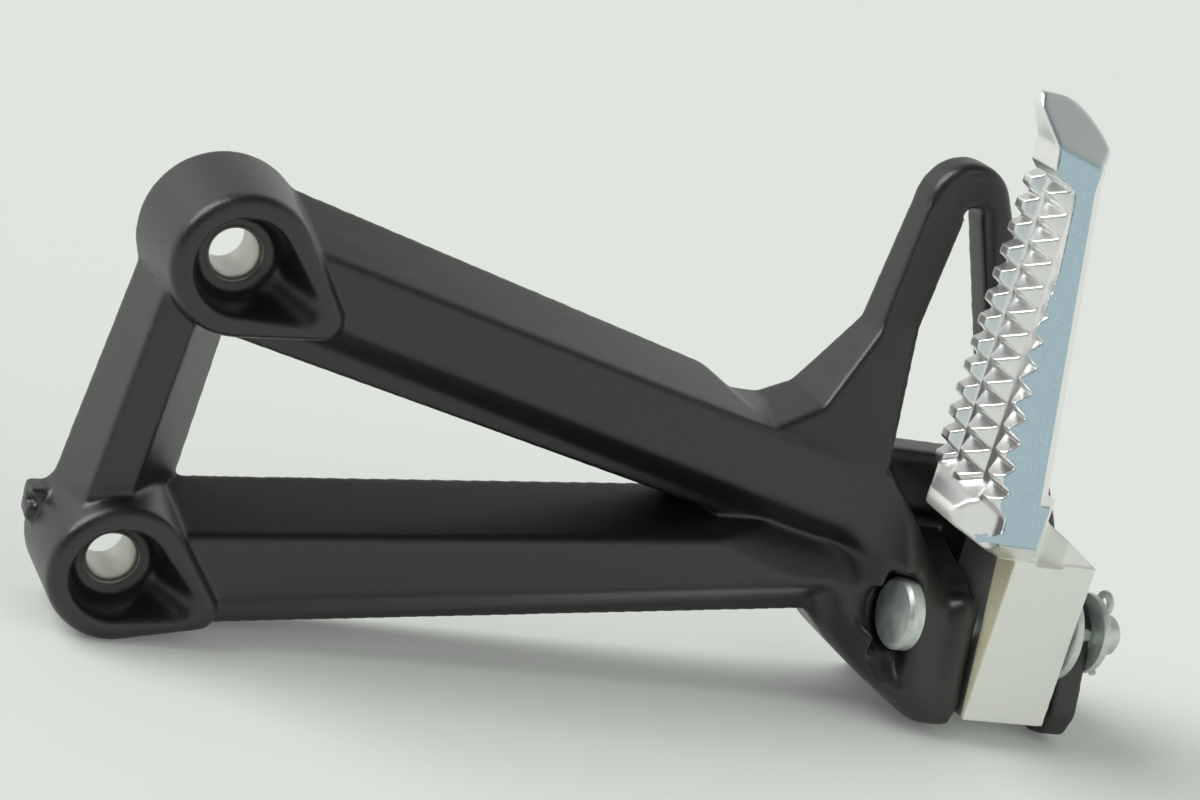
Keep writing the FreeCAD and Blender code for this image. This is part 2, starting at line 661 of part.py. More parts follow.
def footpeg():
    heel = bar_section(BAR_HEEL_Z, TREAD_ROOT_X, BAR_HEEL_SIDE_X, BAR_HEEL_KEEL_X, KEEL_HEEL_Y)
    plan = bar_envelope()
    dressed = [tread().common(plan), heel_lip().common(plan), peg_tip().common(plan)]
    bar = loft(heel, top_section(TREAD_ROOT_X)).fuse(dressed).cut(heel_sole())
    body = bar.fuse(tongue()).removeSplitter()
    return body.cut(x_rod((PIN_D + PIN_FIT) / 2, TONGUE_X - PAST, TONGUE_END_X + PAST))


def clevis_pin():
    head_x = HEAD_SEAT_X - PIN_HEAD_H
    head = x_rod(PIN_HEAD_D / 2, head_x, HEAD_SEAT_X)
    head = head.makeChamfer(PIN_HEAD_CHAMFER, edges_where(head, lambda e: lies_at(e, "x", head_x)))
    shank = x_rod(PIN_D / 2, HEAD_SEAT_X, PIN_END_X)
    shank = shank.makeChamfer(PIN_END_CHAMFER, edges_where(shank, lambda e: lies_at(e, "x", PIN_END_X)))
    reach = PIN_D
    hole_r = (SPLIT_PIN_D + SPLIT_PIN_FIT) / 2
    hole = Part.makeCylinder(hole_r, 2 * reach, V(SPLIT_X, PIN_Y, PIN_Z - reach), V(0, 0, 1))
    return head.fuse(shank).cut(hole)


def washer(x, diameter, thickness):
    bore = (PIN_D + WASHER_BORE_FIT) / 2
    return x_rod(diameter / 2, x, x + thickness).cut(x_rod(bore, x - PAST, x + thickness + PAST))


def split_pin():
    """Eye above the hinge pin, round shank through it, two legs bent apart below."""
    top = PIN_Z + PIN_D / 2
    foot = PIN_Z - PIN_D / 2 - SPLIT_PIN_D / 2
    eye_foot = top + SPLIT_WIRE_R
    eye_z = eye_foot + SPLIT_EYE_R
    shank = Part.makeCylinder(SPLIT_PIN_D / 2, eye_foot - foot, V(SPLIT_X, PIN_Y, foot), V(0, 0, 1))
    wire = []
    for i in range(SPLIT_EYE_SIDES):
        t = 2 * math.pi * i / SPLIT_EYE_SIDES
        rise = SPLIT_EYE_R + SPLIT_WIRE_R * math.sin(t)
        wire.append((SPLIT_X + SPLIT_WIRE_R * math.cos(t), PIN_Y, eye_z + rise))
    eye = Part.Face(polygon(wire)).revolve(V(SPLIT_X, PIN_Y, eye_z), V(1, 0, 0), 360)
    parts = [eye]
    for side in (-1, 1):
        turn = math.radians(SPLIT_LEG_TURN)
        way = V(0, side * math.sin(turn), -math.cos(turn))
        start = V(SPLIT_X, PIN_Y, foot + SPLIT_WIRE_R)
        parts.append(Part.makeCylinder(SPLIT_WIRE_R, SPLIT_LEG_L, start, way))
    return shank.fuse(parts).removeSplitter()


def main():
    os.makedirs("parts", exist_ok=True)
    nodes = {
        "bracket": bracket(),
        "footpeg": footpeg(),
        "clevis_pin": clevis_pin(),
        "spring_washer": washer(WASHER_X, SPRING_WASHER_D, SPRING_WASHER_T),
        "end_washer": washer(END_WASHER_X, END_WASHER_D, END_WASHER_T),
        "split_pin": split_pin(),
    }
    for name, shape in nodes.items():
        box = shape.BoundBox
        size = f"{box.XLength:.1f} x {box.YLength:.1f} x {box.ZLength:.1f}"
        print(name, len(shape.Solids), "solid", shape.isValid(), size, "mm", round(shape.Volume), "mm3")
        shape.exportStep(f"parts/{name}.step")


main()
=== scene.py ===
# %% [markdown]
# # A folding passenger footpeg
#
# The part is a black cast bracket that carries a bare aluminium footpeg on a clevis
# pin. The CAD frame already holds every size and place. This lesson dresses it: soft
# cast edges on the bracket and the peg, broken edges on the pin and its washers, and
# finishes made only from nodes.

import json
import math

import bpy
from mathutils import Matrix, Vector

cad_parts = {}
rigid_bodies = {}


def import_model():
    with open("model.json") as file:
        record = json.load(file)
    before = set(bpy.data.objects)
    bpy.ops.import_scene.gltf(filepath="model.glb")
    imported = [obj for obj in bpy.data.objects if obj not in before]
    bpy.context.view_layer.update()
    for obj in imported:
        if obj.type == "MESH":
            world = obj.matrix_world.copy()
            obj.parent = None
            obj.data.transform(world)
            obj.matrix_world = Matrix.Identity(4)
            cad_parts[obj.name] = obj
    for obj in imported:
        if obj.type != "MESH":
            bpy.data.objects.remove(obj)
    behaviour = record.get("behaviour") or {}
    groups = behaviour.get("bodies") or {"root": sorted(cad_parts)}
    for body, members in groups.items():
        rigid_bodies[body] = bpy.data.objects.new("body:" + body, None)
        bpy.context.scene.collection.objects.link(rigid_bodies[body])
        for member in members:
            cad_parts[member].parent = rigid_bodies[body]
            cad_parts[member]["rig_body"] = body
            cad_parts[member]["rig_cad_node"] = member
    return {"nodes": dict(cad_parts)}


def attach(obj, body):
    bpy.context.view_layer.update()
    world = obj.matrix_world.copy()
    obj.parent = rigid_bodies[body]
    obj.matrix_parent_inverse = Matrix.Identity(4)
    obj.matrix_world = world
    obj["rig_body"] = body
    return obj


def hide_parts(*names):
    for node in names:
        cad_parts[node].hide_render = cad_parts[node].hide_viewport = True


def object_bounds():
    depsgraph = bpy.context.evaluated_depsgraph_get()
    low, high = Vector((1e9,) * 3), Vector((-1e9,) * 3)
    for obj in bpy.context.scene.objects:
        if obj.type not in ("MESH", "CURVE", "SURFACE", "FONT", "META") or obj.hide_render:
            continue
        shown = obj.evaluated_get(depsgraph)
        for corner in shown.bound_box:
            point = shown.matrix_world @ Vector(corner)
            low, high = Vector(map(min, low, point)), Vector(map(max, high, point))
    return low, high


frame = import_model()
cad_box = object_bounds()
print("CAD box in metres:", [tuple(round(c, 4) for c in corner) for corner in cad_box])

# %% [markdown]
# ## Copies to work on
#
# A CAD node is never reshaped. Its mesh is a set of loose triangles, so each piece
# starts as a copy whose doubles are merged into one skin. The copy drops the marks
# that tie the node to the frame and is tied to its body again at the end.


# %% Copying a node
MERGE_DISTANCE = 0.000004


def select_only(piece):
    bpy.ops.object.select_all(action="DESELECT")
    piece.select_set(True)
    bpy.context.view_layer.objects.active = piece


def merged_copy(node, name):
    select_only(frame["nodes"][node])
    bpy.ops.object.duplicate()
    piece = bpy.context.object
    piece.name = name
    piece.data.name = name
    piece.parent = None
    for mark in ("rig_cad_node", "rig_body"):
        del piece[mark]
    bpy.ops.mesh.customdata_custom_splitnormals_clear()
    bpy.ops.object.mode_set(mode="EDIT")
    bpy.ops.mesh.select_all(action="SELECT")
    bpy.ops.mesh.remove_doubles(threshold=MERGE_DISTANCE)
    bpy.ops.object.mode_set(mode="OBJECT")
    return piece


def apply_modifier(piece, kind, **settings):
    select_only(piece)
    modifier = piece.modifiers.new(kind.title(), kind)
    for key, value in settings.items():
        setattr(modifier, key, value)
    bpy.ops.object.modifier_apply(modifier=modifier.name)


# %% [markdown]
# ## The casting
#
# Every edge of a real casting is rounded, inside corners most of all, because molten
# metal can't fill or leave a sharp one. A bevel would stumble over the many small
# faces where the arms run into the bosses. A voxel remesh rebuilds the whole skin at
# one fine grain instead, and rounds of smoothing then soften all edges alike.
#
# The remesh also fuses whatever overlaps, so missing bulk can be laid on first as plain
# rods: the full round on the front of the near ear, a plug for the bore that the pin
# fills, and half a ring that brings the wall of the pocket close round the pin's head.

# %% Rods
ROD_SIDES = 40
ROD_END_SEGMENTS = 6
ROD_END_SHARE = 0.9
ROD_END_ANGLE = math.radians(60)


def rod(name, start, end, radius, edge=None):
    """A bar from start to end: round ends, or ends broken by a narrow edge."""
    run = end - start
    bpy.ops.object.select_all(action="DESELECT")
    bpy.ops.mesh.primitive_cylinder_add(vertices=ROD_SIDES, radius=radius, depth=run.length,
                                        location=(start + end) / 2,
                                        rotation=run.to_track_quat("Z", "Y").to_euler())
    piece = bpy.context.object
    piece.name = name
    bpy.ops.object.transform_apply(location=True, rotation=True, scale=True)
    apply_modifier(piece, "BEVEL", width=edge or radius * ROD_END_SHARE,
                   segments=ROD_END_SEGMENTS, limit_method="ANGLE", angle_limit=ROD_END_ANGLE)
    return piece


# %% Half ring round the pin's head
POCKET_OUTER = 0.0112
POCKET_INNER = 0.0076
POCKET_EDGE = 0.0002
POCKET_MOUTH = Vector((0.1454, -0.025, 0.010))
POCKET_FLOOR = Vector((0.1503, -0.025, 0.010))
POCKET_OPENS_Y = -0.0256

bracket = merged_copy("bracket", "cast_bracket")
pocket_wall = rod("pocket_wall", POCKET_MOUTH, POCKET_FLOOR, POCKET_OUTER, POCKET_EDGE)
core_start = POCKET_MOUTH * 2 - POCKET_FLOOR
pocket_core = rod("pocket_core", core_start, POCKET_FLOOR, POCKET_INNER, POCKET_EDGE)
apply_modifier(pocket_wall, "BOOLEAN", operation="DIFFERENCE", solver="EXACT",
               object=pocket_core)
bpy.data.objects.remove(pocket_core)
bpy.ops.object.mode_set(mode="EDIT")
bpy.ops.mesh.select_all(action="SELECT")
bpy.ops.mesh.bisect(plane_co=(0, POCKET_OPENS_Y, 0), plane_no=(0, 1, 0), use_fill=True,
                    clear_inner=True)
bpy.ops.object.mode_set(mode="OBJECT")
print("half ring:", len(pocket_wall.data.polygons), "faces")

# %% Round and plug on the near ear
EAR_ROUND = 0.0031
EAR_ROUND_TOP = Vector((0.1603, -0.0275, 0.0165))
EAR_ROUND_TOE = Vector((0.1603, -0.0303, -0.0065))
BORE_PLUG = 0.0045
PLUG_START = Vector((0.1510, -0.025, 0.010))
PLUG_END = Vector((0.1633, -0.025, 0.010))

ear_round = rod("ear_round", EAR_ROUND_TOP, EAR_ROUND_TOE, EAR_ROUND)
bore_plug = rod("bore_plug", PLUG_START, PLUG_END, BORE_PLUG)
select_only(bracket)
for bulk in (ear_round, bore_plug, pocket_wall):
    bulk.select_set(True)
bpy.ops.object.join()
print("joined skin:", len(bracket.data.polygons), "faces")

# %% [markdown]
# A grid leaves ripples on long edges that run almost along it. The joined skin is
# therefore turned askew for the remesh and the smoothing, and turned back after. A zone
# can get further rounds of smoothing, held to it by the weights of a vertex group. Last,
# the even grid is thinned out to the number of triangles that a piece may have.

# %% Cast skin
SMOOTH_FACTOR = 0.5
ASKEW = (Matrix.Rotation(0.53, 4, "X") @ Matrix.Rotation(0.41, 4, "Y")
         @ Matrix.Rotation(0.61, 4, "Z"))


def turn_mesh(piece, turn):
    select_only(piece)
    piece.matrix_world = turn
    bpy.ops.object.transform_apply(location=True, rotation=True, scale=True)


def cast_skin(piece, grain, rounds):
    """Rebuild the skin at one grain and soften its edges."""
    turn_mesh(piece, ASKEW)
    apply_modifier(piece, "REMESH", mode="VOXEL", voxel_size=grain)
    apply_modifier(piece, "SMOOTH", factor=SMOOTH_FACTOR, iterations=rounds)
    turn_mesh(piece, ASKEW.inverted())


def soften_zone(piece, name, depth_at, rounds):
    """Smooth on where depth_at gives more than 0, and fully from 1."""
    zone = piece.vertex_groups.new(name=name)
    for vertex in piece.data.vertices:
        depth = depth_at(*vertex.co)
        if depth > 0:
            zone.add([vertex.index], min(depth, 1.0), "REPLACE")
    apply_modifier(piece, "SMOOTH", factor=SMOOTH_FACTOR, iterations=rounds, vertex_group=name)


def thin_out(piece, triangles):
    """Fewer faces where the skin is flat, and smooth shading."""
    apply_modifier(piece, "DECIMATE", ratio=triangles / (2 * len(piece.data.polygons)))
    bpy.ops.object.shade_smooth()
    print(piece.name, "faces:", len(piece.data.polygons))


# %% [markdown]
# The clevis is the zone that gets more smoothing, because the real one flows most
# there. The zone fades out towards the arms, the loop, the slot and the back.

# %% Bracket
CASTING_GRAIN = 0.00035
CASTING_SMOOTHING = 44
CASTING_TRIANGLES = 185000
HUB_SMOOTHING = 110
HUB_LEFT_X, HUB_LEFT_FADE = 0.110, 0.020
HUB_RIGHT_X, HUB_RIGHT_FADE = 0.1635, 0.004
HUB_TOP_Z, HUB_TOP_FADE = 0.036, 0.012
HUB_BACK_Y, HUB_BACK_FADE = -0.014, 0.006


def depth_in_hub(x, y, z):
    return min((x - HUB_LEFT_X) / HUB_LEFT_FADE, (HUB_RIGHT_X - x) / HUB_RIGHT_FADE,
               (HUB_TOP_Z - z) / HUB_TOP_FADE, (HUB_BACK_Y - y) / HUB_BACK_FADE)


cast_skin(bracket, CASTING_GRAIN, CASTING_SMOOTHING)
soften_zone(bracket, "hub_zone", depth_in_hub, HUB_SMOOTHING)
thin_out(bracket, CASTING_TRIANGLES)

# %% [markdown]
# ## The toothed peg
#
# The real peg is cast too, and then milled and polished. The slant along the keel of
# its bar runs down to the heel, so a turned block first cuts the corner off there. A
# bevel can't round the tip and the lip of the heel, because the teeth crowd it. The peg
# therefore gets a cast skin as well, at a finer grain and with little smoothing, which
# keeps the teeth crisp. The tip and the lip are smoothed on.


# %% Cut along the keel
FLAT_ANGLE = math.radians(1.5)
KEEL_FRONT = Vector((0.1606, -0.0434, 0.0))
KEEL_BACK = Vector((0.1688, -0.0336, 0.0))
HEEL_FOOT_Z = 0.0262
HEEL_TOP_Z = 0.0416
CUT_DEPTH = 0.02
CUT_OVERRUN = 1.6


def join_flats(piece):
    """Join the triangles of each flat face."""
    select_only(piece)
    bpy.ops.object.mode_set(mode="EDIT")
    bpy.ops.mesh.select_all(action="SELECT")
    bpy.ops.mesh.dissolve_limited(angle_limit=FLAT_ANGLE)
    bpy.ops.object.mode_set(mode="OBJECT")


footpeg = merged_copy("footpeg", "toothed_peg")
join_flats(footpeg)
along = KEEL_BACK - KEEL_FRONT
outward = Vector((along.y, -along.x, 0)).normalized()
bpy.ops.object.select_all(action="DESELECT")
bpy.ops.mesh.primitive_cube_add(size=1.0, rotation=(0, 0, math.atan2(along.y, along.x)))
keel_cut = bpy.context.object
keel_cut.scale = (along.length * CUT_OVERRUN, CUT_DEPTH, HEEL_TOP_Z - HEEL_FOOT_Z)
keel_cut.location = (KEEL_FRONT + KEEL_BACK) / 2 + outward * CUT_DEPTH / 2
keel_cut.location.z = (HEEL_TOP_Z + HEEL_FOOT_Z) / 2
bpy.ops.object.transform_apply(location=True, rotation=True, scale=True)
apply_modifier(footpeg, "BOOLEAN", operation="DIFFERENCE", solver="EXACT", object=keel_cut)
bpy.data.objects.remove(keel_cut)
print("cut peg:", len(footpeg.data.polygons), "faces")

# %% Peg
PEG_GRAIN = 0.00022
PEG_SMOOTHING = 9
PEG_TRIANGLES = 150000
TIP_SMOOTHING = 70
TIP_START_Z = 0.1000
LIP_RIGHT_X = KEEL_FRONT.x + 0.001
POLISH_FADE = 0.002


def depth_in_polish(x, y, z):
    tip = (z - TIP_START_Z) / POLISH_FADE
    lip = min((HEEL_TOP_Z - z) / POLISH_FADE, (z - HEEL_FOOT_Z) / POLISH_FADE,
              (LIP_RIGHT_X - x) / POLISH_FADE)
    return max(tip, lip)


cast_skin(footpeg, PEG_GRAIN, PEG_SMOOTHING)
soften_zone(footpeg, "cast_zone", depth_in_polish, TIP_SMOOTHING)
thin_out(footpeg, PEG_TRIANGLES)

# %% [markdown]
# ## Pin, washers and split pin
#
# Turned and stamped edges are only broken, not rounded. Flat faces are first joined
# from their triangles, so that a narrow bevel finds clean edges to follow. The split
# pin is bent from round wire and has no edge to break.

# %% Hardware
CREASE_ANGLE = math.radians(25)
EDGE_SEGMENTS = 2
PIN_EDGE = 0.0001
WASHER_EDGE = 0.0002


def broken_edges(piece, width):
    join_flats(piece)
    apply_modifier(piece, "BEVEL", width=width, segments=EDGE_SEGMENTS, limit_method="ANGLE",
                   angle_limit=CREASE_ANGLE, use_clamp_overlap=True)
    bpy.ops.object.shade_smooth_by_angle(angle=CREASE_ANGLE)
    print(piece.name, "faces:", len(piece.data.polygons))


clevis_pin = merged_copy("clevis_pin", "headed_pin")
broken_edges(clevis_pin, PIN_EDGE)
spring_washer = merged_copy("spring_washer", "sprung_ring")
broken_edges(spring_washer, WASHER_EDGE)
end_washer = merged_copy("end_washer", "plain_ring")
broken_edges(end_washer, WASHER_EDGE)
split_pin = merged_copy("split_pin", "split_wire")
bpy.ops.object.shade_smooth_by_angle(angle=CREASE_ANGLE)
print(split_pin.name, "faces:", len(split_pin.data.polygons))

# %% [markdown]
# ## Finishes
#
# Each finish is one node tree that reads Object coordinates, so a pattern keeps its
# real scale. The helpers below each add one small group of nodes to a tree and give
# back the socket that carries the result.


# %% Trees, nodes and patterns
def new_finish(name):
    material = bpy.data.materials.new(name)
    material.use_nodes = True
    tree = material.node_tree
    shader = tree.nodes["Principled BSDF"]
    return material, tree, shader


def add(tree, kind, **settings):
    node = tree.nodes.new(kind)
    for key, value in settings.items():
        setattr(node, key, value)
    return node


def noise(tree, scale, detail, stretch=(1, 1, 1)):
    """Noise in object space; stretch scales each axis."""
    place = add(tree, "ShaderNodeTexCoord")
    mapping = add(tree, "ShaderNodeMapping")
    mapping.inputs["Scale"].default_value = stretch
    pattern = add(tree, "ShaderNodeTexNoise")
    pattern.inputs["Scale"].default_value = scale
    pattern.inputs["Detail"].default_value = detail
    tree.links.new(place.outputs["Object"], mapping.inputs["Vector"])
    tree.links.new(mapping.outputs["Vector"], pattern.inputs["Vector"])
    return pattern.outputs["Fac"]


def ramp(tree, value, low_stop, high_stop):
    """Colour between two stops, each a position and a colour."""
    node = add(tree, "ShaderNodeValToRGB")
    for element, (position, color) in zip(node.color_ramp.elements, (low_stop, high_stop)):
        element.position = position
        element.color = color
    tree.links.new(value, node.inputs["Fac"])
    return node.outputs["Color"]


def grey(value):
    return (value, value, value, 1.0)


def bump(tree, shader, height, strength, distance):
    node = add(tree, "ShaderNodeBump")
    node.inputs["Strength"].default_value = strength
    node.inputs["Distance"].default_value = distance
    tree.links.new(height, node.inputs["Height"])
    tree.links.new(node.outputs["Normal"], shader.inputs["Normal"])


# %% Places and masks
def place_axes(tree):
    """The object-space X, Y and Z of the point."""
    place = add(tree, "ShaderNodeTexCoord")
    axes = add(tree, "ShaderNodeSeparateXYZ")
    tree.links.new(place.outputs["Object"], axes.inputs["Vector"])
    return axes.outputs


def facing(tree, axis):
    """How much the face looks along one object axis, from -1 to 1."""
    side = add(tree, "ShaderNodeTexCoord")
    axes = add(tree, "ShaderNodeSeparateXYZ")
    tree.links.new(side.outputs["Normal"], axes.inputs["Vector"])
    return axes.outputs[axis]


def step(tree, value, start, end, low=0.0, high=1.0):
    """Low before start, high after end."""
    node = add(tree, "ShaderNodeMapRange")
    node.inputs["From Min"].default_value = start
    node.inputs["From Max"].default_value = end
    node.inputs["To Min"].default_value = low
    node.inputs["To Max"].default_value = high
    tree.links.new(value, node.inputs["Value"])
    return node.outputs["Result"]


def two_values(tree, operation, first, second):
    node = add(tree, "ShaderNodeMath", operation=operation)
    tree.links.new(first, node.inputs[0])
    tree.links.new(second, node.inputs[1])
    return node.outputs[0]


def both(tree, first, second):
    return two_values(tree, "MULTIPLY", first, second)


def either(tree, first, second):
    return two_values(tree, "MAXIMUM", first, second)


def blend(tree, mask, below, above):
    """Colour above where the mask is 1, colour below elsewhere."""
    node = add(tree, "ShaderNodeMix", data_type="RGBA")
    tree.links.new(mask, node.inputs["Factor"])
    for value, socket in ((below, node.inputs[6]), (above, node.inputs[7])):
        if isinstance(value, tuple):
            socket.default_value = value
        else:
            tree.links.new(value, socket)
    return node.outputs[2]


# %% [markdown]
# ### Satin black powder coat
#
# Powder melts to a fine orange peel with small paler specks. One fine noise drives the
# tone, the sheen and the bump, so they agree. The bolt bores are left bare by the bolts
# that went through them, which a distance from each bore's axis marks.

# %% Satin black powder coat
BOLT_BORES = ((0.0, 0.0), (0.0092, 0.057))
BARE_BORE = 0.0048
BORE_FADE = 0.0001
SPECK_SCALE = 3000.0
COAT_DARK = (0.004, 0.0042, 0.004, 1)
COAT_PALE = (0.013, 0.0135, 0.0125, 1)
BORE_TONE = (0.50, 0.50, 0.46, 1)


def round_bore(tree, axes, x, z):
    """1 inside a bore along Y, 0 outside."""
    point = add(tree, "ShaderNodeCombineXYZ")
    tree.links.new(axes["X"], point.inputs["X"])
    tree.links.new(axes["Z"], point.inputs["Y"])
    gap = add(tree, "ShaderNodeVectorMath", operation="DISTANCE")
    gap.inputs[1].default_value = (x, z, 0)
    tree.links.new(point.outputs["Vector"], gap.inputs[0])
    return step(tree, gap.outputs["Value"], BARE_BORE + BORE_FADE, BARE_BORE - BORE_FADE)


powder_coat, tree, shader = new_finish("satin_black_powder_coat")
speck = noise(tree, SPECK_SCALE, 3.0)
axes = place_axes(tree)
lower_bore, upper_bore = [round_bore(tree, axes, x, z) for x, z in BOLT_BORES]
bare = either(tree, lower_bore, upper_bore)
coat_tone = ramp(tree, speck, (0.35, COAT_DARK), (0.72, COAT_PALE))
tree.links.new(blend(tree, bare, coat_tone, BORE_TONE), shader.inputs["Base Color"])
tree.links.new(bare, shader.inputs["Metallic"])
shader.inputs["Specular IOR Level"].default_value = 0.75
sheen = ramp(tree, speck, (0.3, grey(0.30)), (0.7, grey(0.42)))
tree.links.new(sheen, shader.inputs["Roughness"])
bump(tree, shader, speck, 0.4, 0.0001)
print(powder_coat.name, "nodes:", len(tree.nodes))

# %% [markdown]
# ### Bare aluminium
#
# The peg is bare metal with zones that differ: polished teeth and tip, side flats whose
# blue is a painted reflection of a blue sky, a matt milled tongue, and on the tongue's
# left face a yellowish strip with milling lines beside the grey neck, its paleness
# painted light from the window on the left. Painting would need an unwrapped skin.
# Masks from the place and the facing of a point need none, and they stay sharp at any
# size.

# %% Zones of the peg
NECK_FOOT_Z = 0.0266
NECK_TOP_Z = 0.0356
NECK_FRONT_Y = -0.0345
STRIP_SLOPE = 0.165
STRIP_EDGE = -0.0322
FACING_FROM, FACING_FULL = -0.7, -0.85

bare_metal, tree, shader = new_finish("bare_brushed_aluminium")
axes = place_axes(tree)
foot = step(tree, axes["Z"], NECK_FOOT_Z + 0.0005, NECK_FOOT_Z)
shoulder = both(tree, step(tree, axes["Z"], NECK_TOP_Z + 0.0004, NECK_TOP_Z),
                step(tree, axes["Y"], NECK_FRONT_Y - 0.0004, NECK_FRONT_Y))
tongue = either(tree, foot, shoulder)
# The side flats, which get a painted reflection of a blue sky in their colour and a lower
# roughness.
sides = step(tree, facing(tree, "Y"), FACING_FROM, FACING_FULL)
left_face = both(tree, step(tree, facing(tree, "X"), FACING_FROM, FACING_FULL), foot)
lean = add(tree, "ShaderNodeMath", operation="MULTIPLY_ADD")
lean.inputs[1].default_value = -STRIP_SLOPE
tree.links.new(axes["Z"], lean.inputs[0])
tree.links.new(axes["Y"], lean.inputs[2])
before_edge = step(tree, lean.outputs[0], STRIP_EDGE + 0.0002, STRIP_EDGE)
behind_edge = step(tree, lean.outputs[0], STRIP_EDGE, STRIP_EDGE + 0.0002)
# Mask of the strip on the tongue's left face that gets painted light.
strip = both(tree, left_face, before_edge)
neck = both(tree, left_face, behind_edge)
print(bare_metal.name, "nodes for zones:", len(tree.nodes))

# %% Tones of the peg
POLISHED = ((0.3, (0.88, 0.88, 0.87, 1)), (0.7, (0.95, 0.95, 0.93, 1)))
# The side flats' sky blue is a painted reflection of a blue sky, not the metal's own colour.
PAINTED_SKY_REFLECTION = ((0.3, (0.38, 0.51, 0.59, 1)), (0.7, (0.52, 0.64, 0.71, 1)))
# The strip's pale yellowish tone with milling lines is painted light from the window on the
# left.
PAINTED_LIT_STRIP = ((0.35, (0.82, 0.75, 0.45, 1)), (0.65, (0.96, 0.94, 0.78, 1)))
TONGUE_TONE = (0.93, 0.94, 0.89, 1)
NECK_TONE = (0.62, 0.63, 0.62, 1)

brushing = noise(tree, 1500.0, 5.0, (6.0, 6.0, 0.12))
milling = noise(tree, 900.0, 3.0, (0.4, 0.4, 5.0))
# The side flats take the painted sky reflection, streaked by the brushing.
tone = blend(tree, sides, ramp(tree, brushing, *POLISHED), ramp(tree, brushing, *PAINTED_SKY_REFLECTION))
tone = blend(tree, tongue, tone, TONGUE_TONE)
# The strip takes its painted light tone, streaked by the milling lines.
tone = blend(tree, strip, tone, ramp(tree, milling, *PAINTED_LIT_STRIP))
tone = blend(tree, neck, tone, NECK_TONE)
tree.links.new(tone, shader.inputs["Base Color"])
metal = blend(tree, tongue, grey(1.0), grey(0.4))
metal = blend(tree, strip, metal, grey(0.05))
metal = blend(tree, neck, metal, grey(1.0))
tree.links.new(metal, shader.inputs["Metallic"])
gloss = blend(tree, sides, grey(0.34), grey(0.22))
gloss = blend(tree, tongue, gloss, grey(0.55))
tree.links.new(gloss, shader.inputs["Roughness"])
bump(tree, shader, brushing, 0.12, 0.00005)
print(bare_metal.name, "nodes:", len(tree.nodes))

# %% [markdown]
# ### Dull zinc plate
#
# Plated hardware dulls to a cloudy grey with a hint of green. One soft noise drives the
# tone and the gloss.

# %% Dull zinc plate
CLOUD_SCALE = 500.0
ZINC_DARK = (0.60, 0.65, 0.62, 1)
ZINC_PALE = (0.74, 0.79, 0.76, 1)

zinc, tree, shader = new_finish("dull_zinc_plate")
shader.inputs["Metallic"].default_value = 0.6
cloud = noise(tree, CLOUD_SCALE, 4.0)
zinc_tone = ramp(tree, cloud, (0.35, ZINC_DARK), (0.65, ZINC_PALE))
tree.links.new(zinc_tone, shader.inputs["Base Color"])
gloss = ramp(tree, cloud, (0.3, grey(0.34)), (0.7, grey(0.50)))
tree.links.new(gloss, shader.inputs["Roughness"])
bump(tree, shader, cloud, 0.1, 0.00005)
print(zinc.name, "nodes:", len(tree.nodes))

# %% [markdown]
# ### Dress the pieces
#
# Each piece takes its finish, rides on its body and stands in for its CAD node. Only
# the peg moves; the pin stays with the bracket.

# %% Dress the pieces
DRESS = [
    (bracket, "bracket", powder_coat, "bracket", "mount"),
    (footpeg, "footpeg", bare_metal, "footpeg", "peg"),
    (clevis_pin, "clevis_pin", zinc, "hardware", "mount"),
    (spring_washer, "spring_washer", zinc, "hardware", "mount"),
    (end_washer, "end_washer", zinc, "hardware", "mount"),
    (split_pin, "split_pin", zinc, "hardware", "mount"),
]
for piece, node, finish, slot, body in DRESS:
    piece.data.materials.clear()
    piece.data.materials.append(finish)
    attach(piece, body)
    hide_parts(node)
    print(piece.name, "stands for", node, "on", body)

# %% [markdown]
# ## Floor, light and camera
#
# The photograph was taken on a pale board. A little glow that only the camera and
# mirrors see lifts the board to its tone there, and adds no light to the part.

# %% Floor
FLOOR_Z = cad_box[0][2]
FLOOR_SIZE = 12.0
PALE = (0.86, 0.89, 0.85, 1)
FLOOR_GLOW = 0.10


def shown_rays(tree):
    """1 for rays from the camera, a mirror or a glass."""
    rays = add(tree, "ShaderNodeLightPath")
    seen = either(tree, rays.outputs["Is Camera Ray"], rays.outputs["Is Glossy Ray"])
    return either(tree, seen, rays.outputs["Is Transmission Ray"])


bpy.ops.object.select_all(action="DESELECT")
bpy.ops.mesh.primitive_plane_add(size=FLOOR_SIZE, location=(0.1, 0, FLOOR_Z))
floor = bpy.context.object
floor.name = "floor"
bpy.ops.object.transform_apply(location=True, rotation=True, scale=True)
board, tree, shader = new_finish("pale_board")
shader.inputs["Base Color"].default_value = PALE
shader.inputs["Roughness"].default_value = 0.7
shader.inputs["Emission Color"].default_value = PALE
tree.links.new(step(tree, shown_rays(tree), 0.0, 1.0, 0.0, FLOOR_GLOW),
               shader.inputs["Emission Strength"])
floor.data.materials.append(board)
print("floor at", round(FLOOR_Z, 4))

# %% [markdown]
# The real room has a bright side behind the part on the left, and is dim overhead and
# where the photographer stands. Mirror-like surfaces see that room, matt ones only an
# even low level, so the black coat keeps its dark and its bright planes.

# %% Room
ROOM_LEVEL = 0.30
BRIGHT = 0.9
DIM = 0.12
DIM_SIDE = (-0.80, -0.55, 0.10)


def choose(tree, mask, below, above):
    """Number above where the mask is 1, number below elsewhere."""
    node = add(tree, "ShaderNodeMix", data_type="FLOAT")
    tree.links.new(mask, node.inputs[0])
    for value, socket in ((below, node.inputs[2]), (above, node.inputs[3])):
        if isinstance(value, float):
            socket.default_value = value
        else:
            tree.links.new(value, socket)
    return node.outputs[0]


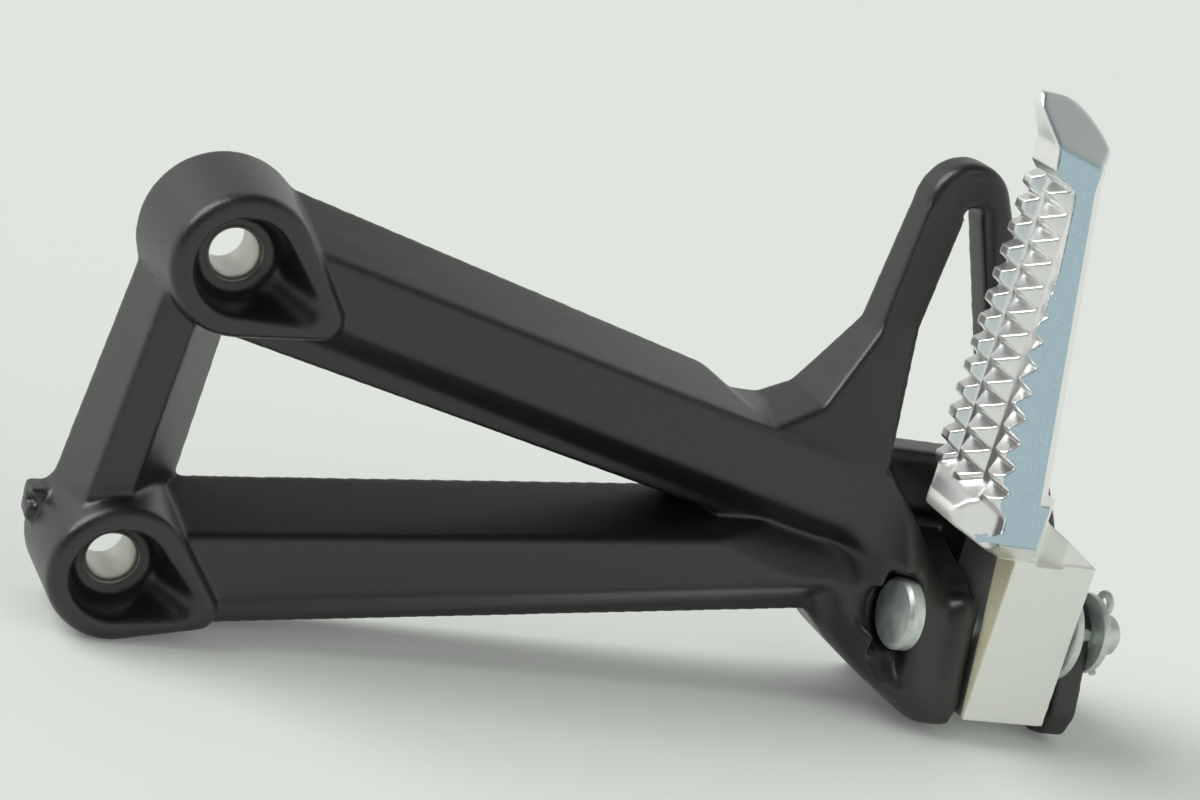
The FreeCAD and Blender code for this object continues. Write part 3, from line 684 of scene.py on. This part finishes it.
world = bpy.data.worlds.new("pale_room")
bpy.context.scene.world = world
world.use_nodes = True
tree = world.node_tree
room = tree.nodes["Background"]
room.inputs["Color"].default_value = PALE
rays = add(tree, "ShaderNodeLightPath")
way = add(tree, "ShaderNodeTexCoord")
toward = add(tree, "ShaderNodeVectorMath", operation="DOT_PRODUCT")
toward.inputs[1].default_value = DIM_SIDE
tree.links.new(way.outputs["Generated"], toward.inputs[0])
height = add(tree, "ShaderNodeSeparateXYZ")
tree.links.new(way.outputs["Generated"], height.inputs["Vector"])
dim = either(tree, step(tree, toward.outputs["Value"], 0.50, 0.88),
             step(tree, height.outputs["Z"], 0.35, 0.95))
mirrored = step(tree, dim, 0.0, 1.0, BRIGHT, DIM)
level = choose(tree, rays.outputs["Is Glossy Ray"], ROOM_LEVEL, mirrored)
straight = either(tree, rays.outputs["Is Camera Ray"], rays.outputs["Is Transmission Ray"])
tree.links.new(choose(tree, straight, level, BRIGHT), room.inputs["Strength"])
print(world.name, "nodes:", len(tree.nodes))

# %% [markdown]
# Two soft lamps stand in for the window on the left and the light that the room sends
# back from the right. The second is kept out of mirrors, where it would show as a disc.


# %% Lamps
def sun(name, place, strength, angle):
    bpy.ops.object.light_add(type="SUN", location=place)
    lamp = bpy.context.object
    lamp.name = name
    lamp.data.energy = strength
    lamp.data.angle = math.radians(angle)
    lamp.rotation_euler = Vector(place).to_track_quat("Z", "Y").to_euler()
    print(name, "strength:", strength)
    return lamp


sun("window_light", (-0.664, 0.242, 0.707), 2.0, 45)
fill = sun("fill_light", (0.5, -0.75, 0.45), 0.5, 60)
fill.visible_glossy = False

# %% [markdown]
# The camera stands where the photographer stood: in front on the left, a little above
# the part, and rolled, because the part leans in the picture.

# %% Camera
CAMERA_PLACE = Vector((-0.1070, -0.4061, 0.1703))
AZIMUTH = math.radians(-25.6)
ELEVATION = math.radians(16.6)
ROLL = math.radians(15.6)

bpy.ops.object.camera_add()
camera = bpy.context.object
camera.data.lens = 75.6
camera.data.sensor_width = 36.0
camera.data.sensor_fit = "HORIZONTAL"
camera.data.clip_start = 0.01
level_right = Vector((math.cos(AZIMUTH), math.sin(AZIMUTH), 0))
level_up = Vector((-math.sin(AZIMUTH) * math.sin(ELEVATION),
                   math.cos(AZIMUTH) * math.sin(ELEVATION), math.cos(ELEVATION)))
right = math.cos(ROLL) * level_right + math.sin(ROLL) * level_up
up = math.cos(ROLL) * level_up - math.sin(ROLL) * level_right
back = right.cross(up)
turn = Matrix((right, up, back)).transposed()
camera.matrix_world = Matrix.Translation(CAMERA_PLACE) @ turn.to_4x4()
bpy.context.scene.camera = camera
print("camera at", tuple(round(c, 3) for c in CAMERA_PLACE))

# %% [markdown]
# ## Finish
#
# The plain view transform keeps the tones as they were mixed.

# %% Finish
bpy.context.scene.view_settings.view_transform = "Standard"
